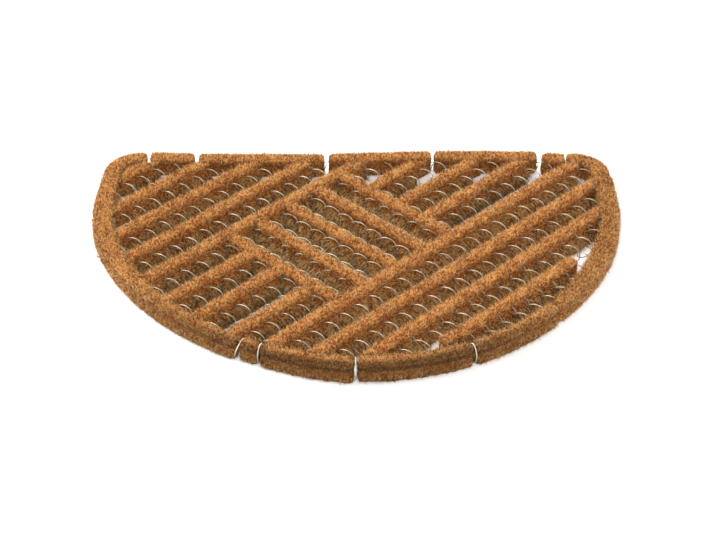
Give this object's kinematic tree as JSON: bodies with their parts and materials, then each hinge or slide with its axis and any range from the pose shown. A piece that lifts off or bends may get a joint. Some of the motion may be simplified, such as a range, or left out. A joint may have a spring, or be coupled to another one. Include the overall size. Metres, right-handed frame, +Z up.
{
  "type": "coir and wire doormat",
  "caption": "Half-moon doormat of upright coir strips in diagonal fields, held in an open mesh of wire springs, with a coir edge.",
  "frame": {"origin": "middle of the mat's bounding box, on the face it lies on", "axes": "+Z up out of the face it lies on, +Y towards the straight edge, X along the straight edge"},
  "size_m": [0.7548, 0.4656, 0.032],
  "materials": {
    "coir": "golden brown coconut fibre, bound in upright tufts",
    "wire": "galvanised steel wire, dull"
  },
  "bodies": {
    "root": {"coil_left_0_left_1": "wire", "coil_left_1_left_2": "wire", "coil_left_2_left_3": "wire", "coil_left_3_left_4": "wire", "coil_left_4_left_5": "wire", "coil_left_4_top_0": "wire", "coil_left_5_left_6": "wire", "coil_left_6_left_7": "wire", "coil_left_7_right_0": "wire", "coil_middle_0_middle_1": "wire", "coil_middle_1_middle_2": "wire", "coil_middle_2_middle_3": "wire", "coil_middle_3_middle_4": "wire", "coil_right_0_right_1": "wire", "coil_right_1_right_2": "wire", "coil_right_2_right_3": "wire", "coil_top_0_top_1": "wire", "coil_top_1_top_2": "wire", "coil_top_2_right_0": "wire", "edge_back_0": "coir", "edge_back_1": "coir", "edge_back_2": "coir", "edge_back_3": "coir", "edge_back_4": "coir", "edge_corner_left": "coir", "edge_corner_right": "coir", "edge_front_0": "coir", "edge_front_1": "coir", "edge_front_2": "coir", "edge_front_3": "coir", "edge_front_4": "coir", "edge_left_0": "coir", "edge_right_0": "coir", "edge_right_1": "coir", "left_0": "coir", "left_1": "coir", "left_2": "coir", "left_3": "coir", "left_4": "coir", "left_5": "coir", "left_6": "coir", "left_7": "coir", "middle_0": "coir", "middle_1": "coir", "middle_2": "coir", "middle_3": "coir", "middle_4": "coir", "right_0": "coir", "right_1": "coir", "right_2": "coir", "right_3": "coir", "right_stub": "coir", "top_0": "coir", "top_1": "coir", "top_2": "coir"}
  },
  "joints": []
}
